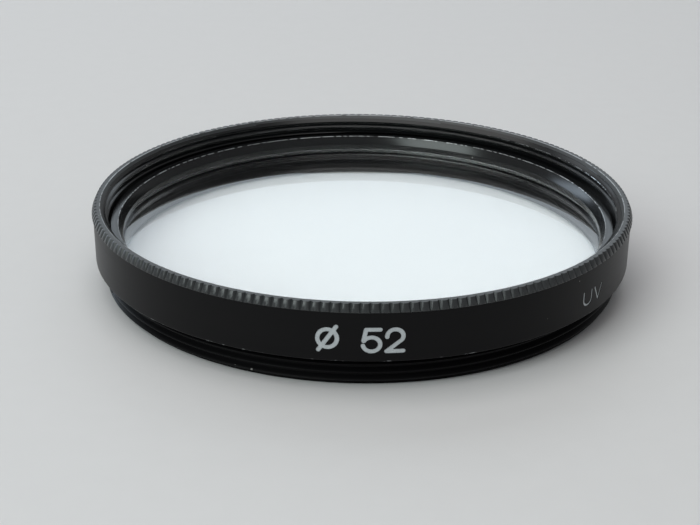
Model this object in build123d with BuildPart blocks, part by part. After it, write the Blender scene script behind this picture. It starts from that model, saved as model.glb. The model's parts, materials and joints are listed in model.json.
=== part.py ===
from build123d import *
from math import radians, tan
import os

# A screw-in ultraviolet filter for a camera lens with a 52 mm filter thread. It is three pieces:
# a turned and knurled metal ring, a flat glass disc, and a threaded ring that holds the glass down.
# It stands on its rear thread: Z = 0 is the table, Z points out of the front of the filter, and
# the optical axis is the Z axis. All sizes are millimetres, and the threads are plain walls: the
# outside thread at its crests, the inside ones at their minor diameter.

# Filter thread
thread_diameter = 52.0
thread_pitch = 0.75
minor_depth_per_pitch = 0.5413
thread_r = thread_diameter / 2
front_minor_r = thread_r - minor_depth_per_pitch * thread_pitch

# Rear end of the ring: the outside thread, its entry bevel and the groove under the shoulder
rear_thread_length = 2.35
rear_bevel = 0.45
relief_width = 0.45
relief_depth = 0.5
rear_wall = 1.9
rear_mouth_bevel = 0.5
aperture_r = thread_r - rear_wall
relief_r = thread_r - relief_depth
shoulder_z = rear_thread_length + relief_width

# Glass disc and its seat in the ring
glass_overlap = 0.9
glass_thickness = 2.3
glass_clearance = 0.1
glass_bevel = 0.2
ledge_below_shoulder = 0.4
glass_r = aperture_r + glass_overlap
seat_r = glass_r + glass_clearance
ledge_z = shoulder_z - ledge_below_shoulder
glass_top_z = ledge_z + glass_thickness

# Retaining ring and the threaded bore that it is screwed into
retainer_height = 1.45
retainer_thread_step = 0.35
retainer_clearance = 0.03
retainer_inner_step = 0.05
retainer_bevel_width = 0.45
retainer_bevel_height = 0.9
retainer_edge_bevel = 0.1
glass_stands_proud = 0.2
retainer_bore_r = seat_r + retainer_thread_step
retainer_r = retainer_bore_r - retainer_clearance
retainer_inner_r = aperture_r + retainer_inner_step
retainer_top_z = glass_top_z + retainer_height
seat_top_z = glass_top_z - glass_stands_proud

# Front end of the ring: run-out groove, inside thread, lead-in cone and lip
groove_below_retainer = 0.45
groove_above_retainer = 0.15
groove_past_thread = 0.1
front_thread_length = 1.2
lead_in_height = 0.47
lead_in_past_thread = 0.05
lip_bevel_height = 0.23
lip_past_thread = 0.3
groove_r = thread_r + groove_past_thread
groove_bottom_z = retainer_top_z - groove_below_retainer
groove_top_z = retainer_top_z + groove_above_retainer
front_thread_z = groove_top_z + front_thread_length
lead_in_r = thread_r + lead_in_past_thread
lead_in_z = front_thread_z + lead_in_height
lip_r = thread_r + lip_past_thread
front_z = lead_in_z + lip_bevel_height

# Barrel, the bead round its front end, and the knurl of straight V notches across the bead's bevel
barrel_step = 1.0
barrel_lower_bevel = 0.15
bead_step = 0.15
bead_height = 0.7
bead_bevel_width = 0.33
knurl_count = 200
knurl_front_depth = 0.24
knurl_rear_depth = 0.13
knurl_angle = 100.0
knurl_overrun = 0.5
barrel_r = thread_r + barrel_step
bead_r = barrel_r + bead_step
bead_z = front_z - bead_height
bevel_r = bead_r - bead_bevel_width
root_front_r = bevel_r - knurl_front_depth
root_rear_r = bead_r - knurl_rear_depth

# Knurling wheel's tooth: one V bar, its sharp edge along the root of the notch at azimuth 0. The
# root runs from the lip down to the bead's underside, and the bar is thicker than the notch is
# deep, so that it clears the bead.
root_run = Vector(root_rear_r - root_front_r, 0, bead_z - front_z)
root_direction = root_run.normalized()
root_middle = Vector((root_front_r + root_rear_r) / 2, 0, (front_z + bead_z) / 2)
tooth_depth = 3 * knurl_front_depth
tooth_half_width = tooth_depth * tan(radians(knurl_angle / 2))
with BuildPart() as knurl_tooth:
    with BuildSketch(Plane(origin=root_middle, x_dir=(0, 1, 0), z_dir=root_direction)):
        with BuildLine():
            Polyline(
                (0, 0),
                (tooth_half_width, tooth_depth),
                (-tooth_half_width, tooth_depth),
                close=True,
            )
        make_face()
    extrude(amount=root_run.length / 2 + knurl_overrun, both=True)

# Mount ring: one turning, bored from the front in steps down to the ledge that carries the glass.
with BuildPart() as mount_ring:
    with BuildSketch(Plane.XZ):
        with BuildLine():
            Polyline(
                (aperture_r + rear_mouth_bevel, 0),
                (thread_r - rear_bevel, 0),
                (thread_r, rear_bevel),
                (thread_r, rear_thread_length),
                (relief_r, rear_thread_length),
                (relief_r, shoulder_z),
                (barrel_r - barrel_lower_bevel, shoulder_z),
                (barrel_r, shoulder_z + barrel_lower_bevel),
                (barrel_r, bead_z),
                (bead_r, bead_z),
                (bevel_r, front_z),
                (lip_r, front_z),
                (lead_in_r, lead_in_z),
                (front_minor_r, front_thread_z),
                (front_minor_r, groove_top_z),
                (groove_r, groove_top_z),
                (groove_r, groove_bottom_z),
                (retainer_bore_r, groove_bottom_z),
                (retainer_bore_r, seat_top_z),
                (seat_r, seat_top_z),
                (seat_r, ledge_z),
                (aperture_r, ledge_z),
                (aperture_r, rear_mouth_bevel),
                close=True,
            )
        make_face()
    revolve(axis=Axis.Z)
    with PolarLocations(0, knurl_count):
        add(knurl_tooth.part, mode=Mode.SUBTRACT)

# Glass disc: ground flat on both faces, with its two edges bevelled against chipping.
with BuildPart() as glass_disc:
    with BuildSketch(Plane.XY.offset(ledge_z)):
        Circle(glass_r)
    extrude(amount=glass_thickness)
    chamfer(glass_disc.edges(), glass_bevel)

# Retaining ring: screwed down on the glass, with a wide steep bevel towards the light path.
with BuildPart() as retaining_ring:
    with BuildSketch(Plane.XZ):
        with BuildLine():
            Polyline(
                (retainer_inner_r, glass_top_z),
                (retainer_r - retainer_edge_bevel, glass_top_z),
                (retainer_r, glass_top_z + retainer_edge_bevel),
                (retainer_r, retainer_top_z - retainer_edge_bevel),
                (retainer_r - retainer_edge_bevel, retainer_top_z),
                (retainer_inner_r + retainer_bevel_width, retainer_top_z),
                (retainer_inner_r, retainer_top_z - retainer_bevel_height),
                close=True,
            )
        make_face()
    revolve(axis=Axis.Z)

mount_ring.part.label = "mount_ring"
glass_disc.part.label = "glass_disc"
retaining_ring.part.label = "retaining_ring"

os.makedirs("parts", exist_ok=True)
export_step(mount_ring.part, "parts/mount_ring.step")
export_step(glass_disc.part, "parts/glass_disc.step")
export_step(retaining_ring.part, "parts/retaining_ring.step")
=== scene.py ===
import json
from math import atan, cos, floor, hypot, pi, radians, sin, tan

import bmesh
import bpy
from mathutils import Matrix, Vector
from mathutils.geometry import delaunay_2d_cdt


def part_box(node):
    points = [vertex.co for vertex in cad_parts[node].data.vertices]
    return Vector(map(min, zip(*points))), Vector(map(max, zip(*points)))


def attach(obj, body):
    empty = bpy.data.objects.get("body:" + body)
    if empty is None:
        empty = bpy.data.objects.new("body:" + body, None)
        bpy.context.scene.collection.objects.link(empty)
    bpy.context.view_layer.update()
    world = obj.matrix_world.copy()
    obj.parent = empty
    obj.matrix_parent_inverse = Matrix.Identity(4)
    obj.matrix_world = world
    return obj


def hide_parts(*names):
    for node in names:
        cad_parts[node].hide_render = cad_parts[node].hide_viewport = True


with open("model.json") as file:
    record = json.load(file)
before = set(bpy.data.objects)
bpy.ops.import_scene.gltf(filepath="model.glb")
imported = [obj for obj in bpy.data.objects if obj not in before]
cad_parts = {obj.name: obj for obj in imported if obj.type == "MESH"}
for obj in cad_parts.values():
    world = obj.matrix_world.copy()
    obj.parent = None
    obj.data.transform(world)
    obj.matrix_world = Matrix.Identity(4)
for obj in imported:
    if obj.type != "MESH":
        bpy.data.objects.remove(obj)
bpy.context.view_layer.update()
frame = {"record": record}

# Mount ring. One turning of aluminium bar that carries the other two pieces: at the rear the thread
# that screws into the lens, then the marked barrel, and at the front an inside thread for a hood or
# a second filter. It is turned, threaded, knurled and engraved, and anodised a satin black.
mm = 0.001
mounts = {mount["name"]: mount for mount in frame["record"]["mounts"]}
ring_top_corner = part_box("mount_ring")[1]
thread_r = mounts["rear_thread"]["dims"]["r_mm"]
front_minor_r = mounts["front_thread"]["dims"]["r_mm"]
shoulder_z = mounts["rear_shoulder"]["pos_m"][2] / mm
bead_r = round(ring_top_corner.x / mm, 2)
front_z = round(ring_top_corner.z / mm, 3)

thread_pitch = 0.75
thread_depth = 0.46
thread_corner = 0.02
rear_crest_flat, rear_root_flat = 1 / 8, 1 / 6
front_crest_flat, front_root_flat = 1 / 4, 1 / 8
rear_crest_z = 0.736
rear_thread_z = 2.35
rear_bevel = 0.45
rear_mouth_bevel = 0.5
aperture_r = thread_r - 1.9
relief_r = thread_r - 0.5
barrel_r = bead_r - 0.15
barrel_lower_bevel = 0.15
barrel_lower_z = shoulder_z + barrel_lower_bevel
bead_z = front_z - 0.7
bevel_r = bead_r - 0.33

lip_r = thread_r + 0.3
lead_in_r = thread_r + 0.05
lead_in_z = front_z - 0.23
front_thread_z = lead_in_z - 0.47
groove_top_z = front_thread_z - 1.2
groove_bottom_z = groove_top_z - 0.6
groove_r = thread_r + 0.1
front_crest_z = 6.7625
retainer_bore_r = 25.45
retainer_pitch = 0.5
retainer_thread_depth = 0.24
retainer_flat = 1 / 4
retainer_crest_z = 0.2
retainer_rows = [0, 0.125, 0.375, 0.625, 0.875]
bore_lead_in = 0.1
seat_top_z = 4.5
seat_r = 25.1
ledge_z = 2.4

columns = 400
turn = 2 * pi / columns


def spot(mesh, radius, angle, height):
    """A vertex by its radius, its angle and its height, in millimetres."""
    return mesh.verts.new(Vector((radius * cos(angle), radius * sin(angle), height)) * mm)


def circle(mesh, radius, height):
    """One turn of vertices."""
    return [spot(mesh, radius, i * turn, height) for i in range(columns)]


def skin(mesh, first, second, skipped=()):
    """Joins two turns with one face to each column."""
    for i in range(columns):
        if i not in skipped:
            j = (i + 1) % columns
            mesh.faces.new((first[i], first[j], second[j], second[i]))


def turned(mesh, start, profile):
    """Turns a profile of (radius, height) corners on from a circle, and returns the last circle."""
    for radius, height in profile:
        following = circle(mesh, radius, height)
        skin(mesh, start, following)
        start = following
    return start


def eased(before, corner, after, ease):
    """A corner of a profile, rounded as deburring leaves it."""
    toward = [Vector(p) - Vector(corner) for p in (before, after)]
    first, last = (Vector(corner) + t.normalized() * ease for t in toward)
    steps = (0, 1 / 3, 2 / 3, 1)
    return [tuple((1 - s) ** 2 * first + 2 * s * (1 - s) * Vector(corner) + s * s * last) for s in steps]


def thread_profile(crest, root, crest_flat, root_flat):
    """The radius against the phase of a thread with straight flanks, 0 at the middle of a crest."""
    def radius(phase):
        off = abs(phase - round(phase))
        along = (off - crest_flat / 2) / (0.5 - root_flat / 2 - crest_flat / 2)
        return crest + (root - crest) * min(max(along, 0), 1)
    return radius


def thread(mesh, profile, rows, pitch, crest_z, low_z, high_z, limit=lambda r, z: r):
    """A right-handed thread between two heights, with its rows along the helix. Returns both ends."""
    made = {}

    def vertex(row, column):
        if column == columns:
            row, column = row + len(rows), 0
        lap, step = divmod(row, len(rows))
        z = crest_z + (lap + rows[step] + column / columns) * pitch
        z = min(max(z, low_z), high_z)
        key = column, round(z, 7)
        if key not in made:
            radius = profile((z - crest_z) / pitch - column / columns)
            made[key] = spot(mesh, limit(radius, z), column * turn, z)
        return made[key]

    first = floor((low_z - crest_z) / pitch - 2) * len(rows)
    last = floor((high_z - crest_z) / pitch + 2) * len(rows)
    for row in range(first, last):
        for column in range(columns):
            corners = (vertex(row, column), vertex(row, column + 1),
                       vertex(row + 1, column + 1), vertex(row + 1, column))
            corners = list(dict.fromkeys(corners))
            if len(corners) > 2:
                mesh.faces.new(corners)
    return [[made[i, round(z, 7)] for i in range(columns)] for z in (low_z, high_z)]


def thread_rows(crest_flat, root_flat, soft):
    """Phases of the rows of a thread, close together at each corner so that the corner is soft."""
    crest, root = crest_flat / 2, 0.5 - root_flat / 2
    half = [crest - soft, crest + soft, (crest + root) / 2, root - soft, root + soft]
    return sorted([0, 0.5] + half + [1 - phase for phase in half])


ring = bmesh.new()

# the foot, and the outside thread with its entry bevel
mouth = circle(ring, aperture_r, rear_mouth_bevel)
foot = turned(ring, mouth, eased((aperture_r, rear_mouth_bevel), (aperture_r + rear_mouth_bevel, 0),
                                 (thread_r, 0), 0.06))
outside = thread_profile(thread_r, thread_r - thread_depth, rear_crest_flat, rear_root_flat)
foot_edge, run_out = thread(
    ring, outside, thread_rows(rear_crest_flat, rear_root_flat, thread_corner), thread_pitch,
    rear_crest_z, 0, rear_thread_z, lambda r, z: min(r, thread_r - rear_bevel + z))
skin(ring, foot, foot_edge)

# the relief groove, the shoulder and the lower edge of the barrel
shoulder = [(relief_r, rear_thread_z), (relief_r, shoulder_z)]
shoulder += eased((relief_r, shoulder_z), (barrel_r - barrel_lower_bevel, shoulder_z),
                  (barrel_r, barrel_lower_z), 0.05)
shoulder += eased((barrel_r - barrel_lower_bevel, shoulder_z), (barrel_r, barrel_lower_z),
                  (barrel_r, front_z), 0.05)
marks_low_z, marks_high_z = 3.3, 6.6
marks_low = turned(ring, run_out, shoulder + [(barrel_r, marks_low_z)])

# the knurl: straight V notches cut on a slant across the bead round the front end of the barrel
knurl_count = 200
knurl_angle = 100
root_front_r = bevel_r - 0.24
root_rear_r = bead_r - 0.13
root_slope = (root_rear_r - root_front_r) / (front_z - bead_z)
wall_slope = tan(radians(knurl_angle) / 2) * cos(atan(root_slope))
pitch_half = pi * barrel_r / knurl_count
edge_half = 0.015
land = [(bevel_r - 0.03, front_z), (bevel_r + 0.02, front_z - 0.05),
        ((bevel_r + bead_r) / 2, (front_z + bead_z) / 2),
        (bead_r - 0.025, bead_z + 0.05), (bead_r - 0.05, bead_z)]
knurl = []
for radius, height in land:
    root_r = root_front_r + (front_z - height) * root_slope
    mouth_half = (radius - root_r) * wall_slope
    half_notch = [(off, root_r + off / wall_slope) for off in (0, 0.55 * mouth_half, mouth_half - edge_half)]
    half_notch += [(mouth_half + edge_half, radius), (pitch_half, radius)]
    whole_notch = half_notch + [(2 * pitch_half - off, r) for off, r in half_notch[3:0:-1]]
    knurl.append([spot(ring, r, (2 * pitch_half * notch + off) / barrel_r, height)
                  for notch in range(knurl_count) for off, r in whole_notch])
fine = len(knurl[0])
for upper, lower in zip(knurl, knurl[1:]):
    for i in range(fine):
        j = (i + 1) % fine
        ring.faces.new((lower[i], lower[j], upper[j], upper[i]))
barrel_top = circle(ring, barrel_r, bead_z - 0.08)
lip_edge = circle(ring, root_front_r - 0.04, front_z)
for i in range(columns):
    j = (i + 1) % columns
    span = [(4 * i + k) % fine for k in range(5)]
    ring.faces.new([barrel_top[i], barrel_top[j]] + [knurl[-1][k] for k in reversed(span)])
    ring.faces.new([knurl[0][k] for k in span] + [lip_edge[j], lip_edge[i]])

# the lip, the inside thread with its lead-in cone, the groove under it, the bore that the retaining
# ring screws into, and the seat of the glass
lip = eased((barrel_r, front_z), (lip_r, front_z), (lead_in_r, lead_in_z), 0.04)
lip_inside = turned(ring, lip_edge, lip)
inside = thread_profile(front_minor_r, thread_r, front_crest_flat, front_root_flat)
groove_edge, lead_in = thread(
    ring, inside, thread_rows(front_crest_flat, front_root_flat, thread_corner), thread_pitch,
    front_crest_z, groove_top_z, lead_in_z,
    lambda r, z: max(r, lead_in_r + (z - lead_in_z) * (lead_in_r - front_minor_r)
                     / (lead_in_z - front_thread_z)))
skin(ring, lip_inside, lead_in)
groove = turned(ring, groove_edge, [(groove_r, groove_top_z), (groove_r, groove_bottom_z),
                                    (retainer_bore_r, groove_bottom_z)])
bore = thread_profile(retainer_bore_r, retainer_bore_r + retainer_thread_depth, retainer_flat, retainer_flat)
bore_low, bore_high = thread(
    ring, bore, retainer_rows, retainer_pitch, retainer_crest_z, seat_top_z, groove_bottom_z - bore_lead_in,
    lambda r, z: (r if z < groove_bottom_z - 2 * bore_lead_in
                  else min(r, retainer_bore_r + groove_bottom_z - bore_lead_in - z)))
skin(ring, groove, bore_high)
seat = turned(ring, bore_low, [(seat_r, seat_top_z), (seat_r, ledge_z), (aperture_r, ledge_z)])
skin(ring, seat, mouth)

# Marks. A diameter sign and the size of the thread stand at the front of the barrel, and the kind
# of filter smaller to the right. They are cut in with a round-tipped cutter, and filled with paint.
mark_depth = 0.045


def line(x0, z0, x1, z1):
    """A straight cut between two points, in millimetres from the middle of its sign."""
    return [(x0, z0), (x1, z1)]


def bow(x, z, across, up, start, end):
    """A curved cut along an ellipse, between two angles in degrees."""
    steps = 20
    angles = [radians(start + (end - start) * k / steps) for k in range(steps + 1)]
    return [(x + across * cos(a), z + up * sin(a)) for a in angles]


size_sign = [bow(0, 0, 0.84, 0.84, -10, 190), bow(0, 0, 0.84, 0.84, 170, 370),
             line(-0.76, -1.12, 0.76, 1.12)]
five = [line(-0.5, 1.02, 0.7, 1.02), line(-0.5, 1.02, -0.71, -0.02),
        bow(-0.03, -0.36, 0.74, 0.66, 153, -170)]
two = [bow(0.03, 0.38, 0.69, 0.64, 186, -32) + [(-0.71, -1.02)], line(-0.71, -1.02, 0.73, -1.02)]
letter_u = [line(-0.66, 0.65, -0.66, -0.1), line(0.66, 0.65, 0.66, -0.1),
            bow(0, -0.1, 0.66, 0.55, 180, 360)]
letter_v = [line(-0.66, 0.65, 0, -0.65), line(0, -0.65, 0.66, 0.65)]
signs = [(size_sign, -95.95, 4.99, 0.4), (five, -87.88, 4.87, 0.4), (two, -83.74, 4.87, 0.4),
         (letter_u, -40.1, 4.65, 0.2), (letter_v, -36.15, 4.66, 0.2)]


def cut_outline(path, width):
    """The closed outline of a round-ended cut along a path, anticlockwise."""
    path = [Vector(p) for p in path]
    ahead = [(b - a).normalized() for a, b in zip(path, path[1:])]
    ways = [ahead[0]] + [(a + b).normalized() for a, b in zip(ahead, ahead[1:])] + [ahead[-1]]
    sides = [Vector((way.y, -way.x)) * width / 2 for way in ways]
    cap = 8
    outline = [p + s for p, s in zip(path, sides)]
    for end, side in ((path[-1], sides[-1]), (path[0], -sides[0])):
        for k in range(1, cap):
            outline.append(end + Matrix.Rotation(pi * k / cap, 2) @ side)
        if end is path[-1]:
            outline += [p - s for p, s in zip(reversed(path), reversed(sides))]
    return outline


def engrave(mesh, low, high, first, last):
    """Fills the barrel's columns from first to last between two turns, with the signs cut in."""
    span = range(first, last + 1)
    points = [Vector((i * turn * barrel_r, z)) for z in (marks_low_z, marks_high_z) for i in span]
    edge_turn = [low[i % columns] for i in span] + [high[i % columns] for i in span]
    wide = len(span)
    shapes = [(k, k + 1, wide + k + 1, wide + k) for k in range(wide - 1)]
    for cuts, angle, height, width in signs:
        if not first < radians(angle) / turn < last:
            continue
        for cut in cuts:
            outline = [p + Vector((radians(angle) * barrel_r, height)) for p in cut_outline(cut, width)]
            shapes.append(list(range(len(points), len(points) + len(outline))))
            points += outline
    places, _, faces, from_points, _, from_shapes = delaunay_2d_cdt(points, [], shapes, 4, 1e-5)
    corners = []
    for place, source in zip(places, from_points):
        on_edge = [k for k in source if k < 2 * wide]
        if on_edge:
            corners.append(edge_turn[on_edge[0]])
        else:
            angle = place.x / barrel_r
            middle = (floor(angle / turn) + 0.5) * turn
            corners.append(spot(mesh, barrel_r * cos(turn / 2) / cos(angle - middle), angle, place.y))
    sunk = []
    for face, source in zip(faces, from_shapes):
        if not source:
            continue
        made = mesh.faces.new([corners[k] for k in face])
        if max(source) >= wide - 1:
            sunk.append(made)
    floor_parts = bmesh.ops.extrude_face_region(mesh, geom=sunk)["geom"]
    bmesh.ops.delete(mesh, geom=[face for face in sunk if face.is_valid], context="FACES")
    for part in floor_parts:
        if isinstance(part, bmesh.types.BMVert):
            radius = hypot(part.co.x, part.co.y)
            part.co.xy *= 1 - mark_depth * mm / radius
        elif isinstance(part, bmesh.types.BMFace):
            part.material_index = 1


marks_high = turned(ring, barrel_top, [(barrel_r, marks_high_z)])
marked = [(-112, -88), (-50, -35)]
skin(ring, marks_low, marks_high, {i % columns for first, last in marked for i in range(first, last)})
for first, last in marked:
    engrave(ring, marks_low, marks_high, first, last)


def finished(mesh, name, materials):
    """Makes an object of a closed mesh, smooth except where two faces meet at an edge."""
    bmesh.ops.recalc_face_normals(mesh, faces=mesh.faces)
    data = bpy.data.meshes.new(name)
    mesh.to_mesh(data)
    mesh.free()
    data.polygons.foreach_set("use_smooth", [True] * len(data.polygons))
    data.set_sharp_from_angle(angle=radians(40))
    for material in materials:
        data.materials.append(material)
    made = bpy.data.objects.new(name, data)
    bpy.context.scene.collection.objects.link(made)
    weighted = made.modifiers.new("face weighted normals", "WEIGHTED_NORMAL")
    weighted.keep_sharp = True
    return made


def node(tree, kind, inputs=None, **settings):
    """A shader node with its settings, and with values or other nodes' outputs in its inputs."""
    made = tree.nodes.new(kind)
    for name, value in settings.items():
        setattr(made, name, value)
    for name, value in (inputs or {}).items():
        if isinstance(value, bpy.types.NodeSocket):
            tree.links.new(value, made.inputs[name])
        else:
            made.inputs[name].default_value = value
    return made


def sum_of(tree, operation, *values, clamp=False):
    """The output of a Math node."""
    return node(tree, "ShaderNodeMath", dict(enumerate(values)), operation=operation,
                use_clamp=clamp).outputs[0]


def shader_group(name, inputs, outputs):
    """An empty node group with number inputs and outputs. Returns the group and both ends."""
    tree = bpy.data.node_groups.new(name, "ShaderNodeTree")
    for socket, value in inputs.items():
        tree.interface.new_socket(socket, in_out="INPUT", socket_type="NodeSocketFloat").default_value = value
    for socket in outputs:
        tree.interface.new_socket(socket, in_out="OUTPUT", socket_type="NodeSocketFloat")
    return tree, tree.nodes.new("NodeGroupInput").outputs, tree.nodes.new("NodeGroupOutput").inputs


def place_on_turning(tree):
    """Radius, height, and the cosine and sine of the angle of the shaded point, in millimetres."""
    where = node(tree, "ShaderNodeTexCoord").outputs["Object"]
    where = node(tree, "ShaderNodeVectorMath", {0: where, "Scale": 1 / mm}, operation="SCALE").outputs[0]
    x, y, z = node(tree, "ShaderNodeSeparateXYZ", {0: where}).outputs
    flat = node(tree, "ShaderNodeCombineXYZ", {0: x, 1: y}).outputs[0]
    radius = node(tree, "ShaderNodeVectorMath", {0: flat}, operation="LENGTH").outputs["Value"]
    return radius, z, sum_of(tree, "DIVIDE", x, radius), sum_of(tree, "DIVIDE", y, radius)


# Turning marks: the fine rings that the lathe tool leaves, as a number that changes quickly across
# them and slowly along them.
turning_marks, given, wanted = shader_group(
    "Turning marks", {"Spacing": 0.1, "Waver": 2.0}, ["Lines"])
radius, height, across, along = place_on_turning(turning_marks)
around = node(turning_marks, "ShaderNodeCombineXYZ", {
    0: sum_of(turning_marks, "MULTIPLY", across, given["Waver"]),
    1: sum_of(turning_marks, "MULTIPLY", along, given["Waver"]),
    2: sum_of(turning_marks, "DIVIDE", radius, given["Spacing"])}).outputs[0]
rings = node(turning_marks, "ShaderNodeTexNoise", {
    "Vector": around, "W": sum_of(turning_marks, "DIVIDE", height, given["Spacing"]),
    "Scale": 1.0, "Detail": 2.0, "Roughness": 0.6}, noise_dimensions="4D")
turning_marks.links.new(rings.outputs["Fac"], wanted["Lines"])

# Edge wear: where the black is rubbed off an edge that runs round the ring, in chips and dashes.
edge_wear, given, wanted = shader_group(
    "Edge wear", {"Edge radius": 27.0, "Edge height": 0.0, "Reach": 0.1, "Grain": 1.0, "Amount": 0.5},
    ["Bare"])
radius, height, across, along = place_on_turning(edge_wear)
away = sum_of(edge_wear, "SQRT", sum_of(
    edge_wear, "ADD",
    sum_of(edge_wear, "POWER", sum_of(edge_wear, "SUBTRACT", radius, given["Edge radius"]), 2.0),
    sum_of(edge_wear, "POWER", sum_of(edge_wear, "SUBTRACT", height, given["Edge height"]), 2.0)))
near = sum_of(edge_wear, "SUBTRACT", 1.0, sum_of(edge_wear, "DIVIDE", away, given["Reach"]), clamp=True)
chips = node(edge_wear, "ShaderNodeTexNoise", {
    "Vector": node(edge_wear, "ShaderNodeTexCoord").outputs["Object"],
    "Scale": sum_of(edge_wear, "DIVIDE", 1 / mm, given["Grain"]), "Detail": 3.0, "Roughness": 0.6})
rubbed = sum_of(edge_wear, "SUBTRACT", sum_of(edge_wear, "ADD", chips.outputs["Fac"], given["Amount"]), 1.0)
bare = sum_of(edge_wear, "MULTIPLY", near, sum_of(edge_wear, "MULTIPLY", rubbed, 14.0, clamp=True))
edge_wear.links.new(bare, wanted["Bare"])

# Dust: specks that lie here and there, each in its own cell.
dust, given, wanted = shader_group("Dust", {"Cell": 1.0, "Speck": 0.05, "Share": 0.3}, ["Specks"])
cells = node(dust, "ShaderNodeTexVoronoi", {
    "Vector": node(dust, "ShaderNodeTexCoord").outputs["Object"],
    "Scale": sum_of(dust, "DIVIDE", 1 / mm, given["Cell"])})
chance, large, _ = node(dust, "ShaderNodeSeparateColor", {0: cells.outputs["Color"]}).outputs
reach = sum_of(dust, "MULTIPLY", sum_of(dust, "DIVIDE", given["Speck"], given["Cell"]),
               sum_of(dust, "ADD", large, 0.3))
inside_speck = sum_of(dust, "DIVIDE", sum_of(dust, "SUBTRACT", reach, cells.outputs["Distance"]),
                      reach, clamp=True)
specks = sum_of(dust, "MULTIPLY", sum_of(dust, "MULTIPLY", inside_speck, 3.0, clamp=True),
                sum_of(dust, "LESS_THAN", chance, given["Share"]))
dust.links.new(specks, wanted["Specks"])


def placed(tree, group, **values):
    """A node group in a material with its own values, and its first output."""
    made = node(tree, "ShaderNodeGroup", node_tree=group)
    for name, value in values.items():
        made.inputs[name.replace("_", " ")].default_value = value
    return made.outputs[0]


def new_material(name):
    """A material with only its Principled shader, and its node tree."""
    made = bpy.data.materials.new(name)
    made.use_nodes = True
    return made, made.node_tree, made.node_tree.nodes["Principled BSDF"]


def mixed(tree, share, first, second):
    """A colour mix, with colours or outputs on either side."""
    made = node(tree, "ShaderNodeMix", data_type="RGBA")
    for socket, value in ((made.inputs[0], share), (made.inputs[6], first), (made.inputs[7], second)):
        if isinstance(value, bpy.types.NodeSocket):
            tree.links.new(value, socket)
        else:
            socket.default_value = value
    return made.outputs[2]


def fitted(tree, value, low, high):
    """A number from 0 to 1 brought into a range."""
    return node(tree, "ShaderNodeMapRange", {0: value, 3: low, 4: high}).outputs[0]


def anodised(name, blacks, rough, specular, spacing, relief, wear):
    """Black anodised metal with turning marks and dust, and bare metal where its edges are worn."""
    made, tree, shader = new_material(name)
    lines = placed(tree, turning_marks, Spacing=spacing, Waver=0.7)
    specks = placed(tree, dust, Cell=1.6, Speck=0.1, Share=0.3)
    bare = placed(tree, edge_wear, **wear)
    black = mixed(tree, lines, *[(*shade, 1) for shade in blacks])
    dusty = mixed(tree, sum_of(tree, "MULTIPLY", specks, 0.6), black, (0.45, 0.44, 0.42, 1))
    tree.links.new(mixed(tree, bare, dusty, (0.55, 0.57, 0.58, 1)), shader.inputs["Base Color"])
    tree.links.new(bare, shader.inputs["Metallic"])
    tree.links.new(fitted(tree, lines, *rough), shader.inputs["Roughness"])
    bump = node(tree, "ShaderNodeBump", {"Strength": relief, "Distance": 0.01 * mm, "Height": lines})
    tree.links.new(bump.outputs[0], shader.inputs["Normal"])
    shader.inputs["Specular IOR Level"].default_value = specular
    return made


# the barrel: the same black finish, with its reflection turned well down and its black a little darker than
# inside. This is painted shade, so the barrel renders darker than the finish would
barrel_black_painted_shade = anodised(
    "black anodised barrel with painted shade", [(0.0035, 0.0035, 0.004), (0.006, 0.0055, 0.006)], (0.3, 0.4), 0.12, 0.1, 0.06,
    dict(Edge_radius=barrel_r - 0.07, Edge_height=shoulder_z + 0.07, Reach=0.14, Grain=0.8, Amount=0.42))
inside_black = anodised(
    "black anodised inside", [(0.004, 0.0045, 0.005), (0.008, 0.0085, 0.009)], (0.16, 0.3), 0.5, 0.12, 0.15,
    dict(Edge_radius=front_minor_r, Edge_height=front_thread_z, Reach=0.07, Grain=0.6, Amount=0.5))
# the bead and the lip: a lighter, bluish black than the rest of the finish. This is a painted highlight for
# the light these faces catch, and only its bare edge wear is real
rim_black_painted_highlight = anodised(
    "rim with painted highlight", [(0.02, 0.022, 0.023), (0.035, 0.038, 0.04)], (0.25, 0.4), 0.6, 0.08, 0.15,
    dict(Edge_radius=lip_r, Edge_height=front_z, Reach=0.07, Grain=0.6, Amount=0.6))

# the paint in the marks, uneven where it was wiped off the barrel
paint, tree, shader = new_material("mark paint")
patchy = node(tree, "ShaderNodeTexNoise", {
    "Vector": node(tree, "ShaderNodeTexCoord").outputs["Object"], "Scale": 2.5 / mm, "Detail": 3.0})
tree.links.new(mixed(tree, patchy.outputs["Fac"], (0.42, 0.45, 0.47, 1), (0.62, 0.66, 0.68, 1)),
               shader.inputs["Base Color"])
tree.links.new(fitted(tree, patchy.outputs["Fac"], 0.45, 0.65), shader.inputs["Roughness"])
bump = node(tree, "ShaderNodeBump", {"Strength": 0.4, "Distance": 0.02 * mm, "Height": patchy.outputs["Fac"]})
tree.links.new(bump.outputs[0], shader.inputs["Normal"])

# the bead and the lip get the rim material, whose lighter bluish black is a painted highlight, and the walls
# that look inwards get the glossier one
for face in ring.faces:
    middle = face.calc_center_median() / mm
    radius = hypot(middle.x, middle.y)
    if face.material_index == 0 and radius > lip_r - 0.3 and middle.z > bead_z - 0.1:
        face.material_index = 2
    elif face.material_index == 0 and radius < groove_r and middle.z > ledge_z and radius < barrel_r - 0.5:
        face.material_index = 3
ring_body = finished(ring, "ring_body", [barrel_black_painted_shade, paint, rim_black_painted_highlight, inside_black])
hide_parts("mount_ring")
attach(ring_body, "root")

# Glass. A flat disc ground and polished on both faces, with ground edges and a thin coat against
# reflections. It lies loose on the ring's ledge.
glass_low, glass_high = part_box("glass_disc")
glass_r = round(glass_high.x / mm, 3)
glass_bottom_z = round(glass_low.z / mm, 3)
glass_top_z = round(glass_high.z / mm, 3)
glass_bevel = 0.2

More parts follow.
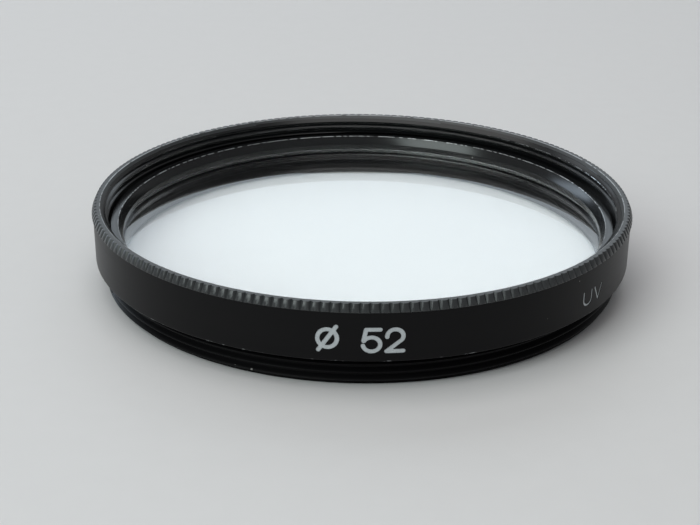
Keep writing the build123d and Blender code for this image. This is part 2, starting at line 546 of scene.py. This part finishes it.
disc = bmesh.new()
glass_side = eased((0, glass_bottom_z), (glass_r - glass_bevel, glass_bottom_z),
                   (glass_r, glass_bottom_z + glass_bevel), 0.03)
glass_side += [(glass_r, glass_bottom_z + glass_bevel), (glass_r, glass_top_z - glass_bevel)]
glass_side += eased((glass_r, glass_top_z - glass_bevel), (glass_r - glass_bevel, glass_top_z),
                    (0, glass_top_z), 0.03)
bottom = circle(disc, *glass_side[0])
top = turned(disc, bottom, glass_side[1:])
disc.faces.new(bottom)
disc.faces.new(top)

glass, tree, shader = new_material("coated glass")
radius, height, _, _ = place_on_turning(tree)
ground_edge = sum_of(tree, "GREATER_THAN", radius, glass_r - glass_bevel)
motes = placed(tree, dust, Cell=2.2, Speck=0.06, Share=0.35)
haze = node(tree, "ShaderNodeTexNoise", {
    "Vector": node(tree, "ShaderNodeTexCoord").outputs["Object"], "Scale": 0.08 / mm, "Detail": 4.0})
smudged = fitted(tree, haze.outputs["Fac"], 0.0, 0.02)
rough = sum_of(tree, "MAXIMUM", sum_of(tree, "MULTIPLY", ground_edge, 0.5),
               sum_of(tree, "MAXIMUM", smudged, sum_of(tree, "MULTIPLY", motes, 0.6)))
tree.links.new(rough, shader.inputs["Roughness"])
tree.links.new(mixed(tree, motes, (0.97, 0.985, 0.985, 1), (0.75, 0.76, 0.77, 1)),
               shader.inputs["Base Color"])
shader.inputs["Transmission Weight"].default_value = 1.0
shader.inputs["IOR"].default_value = 1.52
lamp_side = node(tree, "ShaderNodeMixShader", {
    0: node(tree, "ShaderNodeLightPath").outputs["Is Shadow Ray"], 1: shader.outputs[0],
    2: node(tree, "ShaderNodeBsdfTransparent", {0: (0.9, 0.92, 0.92, 1)}).outputs[0]})
tree.links.new(lamp_side.outputs[0], tree.nodes["Material Output"].inputs["Surface"])

filter_glass = finished(disc, "filter_glass", [glass])
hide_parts("glass_disc")
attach(filter_glass, "root")

# Retaining ring. A turned aluminium ring with a fine outside thread, screwed down on the glass
# inside the mount ring. Its wide inner bevel faces the light path, and it is anodised black too.
retainer_low, retainer_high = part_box("retaining_ring")
retainer_r = round(retainer_high.x / mm, 3)
retainer_bottom_z = round(retainer_low.z / mm, 3)
retainer_top_z = round(retainer_high.z / mm, 3)
retainer_inner_r = aperture_r + 0.05
bevel_top_r = retainer_inner_r + 0.45
bevel_low_z = retainer_top_z - 0.9
retainer_edge = 0.1

holder = bmesh.new()
holder_profile = eased((retainer_r, retainer_top_z), (bevel_top_r, retainer_top_z),
                       (retainer_inner_r, bevel_low_z), 0.03)
holder_profile += eased((bevel_top_r, retainer_top_z), (retainer_inner_r, bevel_low_z),
                        (retainer_inner_r, retainer_bottom_z), 0.05)
holder_profile += [(retainer_inner_r, retainer_bottom_z), (retainer_r - retainer_edge, retainer_bottom_z)]
upper_edge = circle(holder, retainer_r - retainer_edge, retainer_top_z)
lower_edge = turned(holder, upper_edge, holder_profile)
screw = thread_profile(retainer_r, retainer_r - retainer_thread_depth, retainer_flat, retainer_flat)
screw_low, screw_high = thread(
    holder, screw, retainer_rows, retainer_pitch, retainer_crest_z,
    retainer_bottom_z + retainer_edge, retainer_top_z - retainer_edge)
skin(holder, lower_edge, screw_low)
skin(holder, screw_high, upper_edge)

holder_black = anodised(
    "black anodised retaining ring", [(0.005, 0.0055, 0.006), (0.009, 0.0095, 0.01)], (0.14, 0.26), 0.5,
    0.12, 0.1,
    dict(Edge_radius=bevel_top_r, Edge_height=retainer_top_z, Reach=0.08, Grain=0.5, Amount=0.55))

glass_retainer = finished(holder, "glass_retainer", [holder_black])
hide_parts("retaining_ring")
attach(glass_retainer, "root")

# Floor. A plain pale sheet that the filter stands on.
floor_half = 3.0
floor_data = bpy.data.meshes.new("floor")
floor_data.from_pydata([(x * floor_half, y * floor_half, 0) for x, y in ((-1, -1), (1, -1), (1, 1), (-1, 1))],
                       [], [(0, 1, 2, 3)])
pale, tree, shader = new_material("pale floor")
grain = node(tree, "ShaderNodeTexNoise", {
    "Vector": node(tree, "ShaderNodeTexCoord").outputs["Object"], "Scale": 0.4 / mm, "Detail": 2.0})
tree.links.new(mixed(tree, grain.outputs["Fac"], (0.74, 0.73, 0.73, 1), (0.76, 0.75, 0.75, 1)),
               shader.inputs["Base Color"])
shader.inputs["Roughness"].default_value = 0.6
floor_data.materials.append(pale)
floor_sheet = bpy.data.objects.new("floor", floor_data)
bpy.context.scene.collection.objects.link(floor_sheet)

# Light: a dim pale room, a high window and a low one behind the filter, and soft lamps overhead, at
# the front left and at the back left.
room = bpy.data.worlds.new("pale room")
room.use_nodes = True
room_light = room.node_tree.nodes["Background"]
room_light.inputs["Color"].default_value = (0.96, 0.98, 1.0, 1)
room_light.inputs["Strength"].default_value = 0.25
bpy.context.scene.world = room


def soft_lamp(name, direction, elevation, distance, wide, high, radiance, colour):
    """A rectangular lamp that faces the filter, at a compass direction and an elevation in degrees."""
    data = bpy.data.lights.new(name, "AREA")
    data.shape = "RECTANGLE"
    data.size, data.size_y = wide, high
    data.energy = radiance * pi * wide * high
    data.color = colour
    lamp = bpy.data.objects.new(name, data)
    out = Vector((cos(radians(direction)) * cos(radians(elevation)),
                  sin(radians(direction)) * cos(radians(elevation)), sin(radians(elevation))))
    lamp.location = out * distance
    lamp.rotation_euler = out.to_track_quat("Z", "Y").to_euler()
    bpy.context.scene.collection.objects.link(lamp)


soft_lamp("overhead lamp", 200, 78, 0.85, 0.9, 0.9, 1.3, (1.0, 0.99, 0.98))
soft_lamp("high window", 105, 39, 0.7, 0.8, 0.24, 1.1, (0.88, 0.95, 1.0))
soft_lamp("low window", 92, 23.6, 0.6, 0.5, 0.085, 1.1, (0.78, 0.9, 1.0))
soft_lamp("front left lamp", 227, 35, 0.6, 0.36, 0.25, 4.0, (0.86, 0.97, 0.95))
soft_lamp("back left lamp", 142, 11, 0.6, 0.3, 0.12, 3.0, (0.72, 0.86, 1.0))

# Camera, at the place from which the photograph was taken.
camera_data = bpy.data.cameras.new("camera")
camera_data.sensor_width = 36
camera_data.lens = 68.871
camera_data.clip_start = 0.001
camera = bpy.data.objects.new("camera", camera_data)
camera_place = (0, -0.127967, 0.055792)
camera_tilt, camera_yaw, camera_roll = radians(23.425), radians(0.514), radians(0.497)
camera.matrix_world = (
    Matrix.Translation(camera_place) @ Matrix.Rotation(camera_yaw, 4, "Z")
    @ Matrix.Rotation(pi / 2 - camera_tilt, 4, "X") @ Matrix.Rotation(camera_roll, 4, "Z"))
bpy.context.scene.collection.objects.link(camera)
bpy.context.scene.camera = camera
bpy.context.scene.view_settings.view_transform = "Standard"
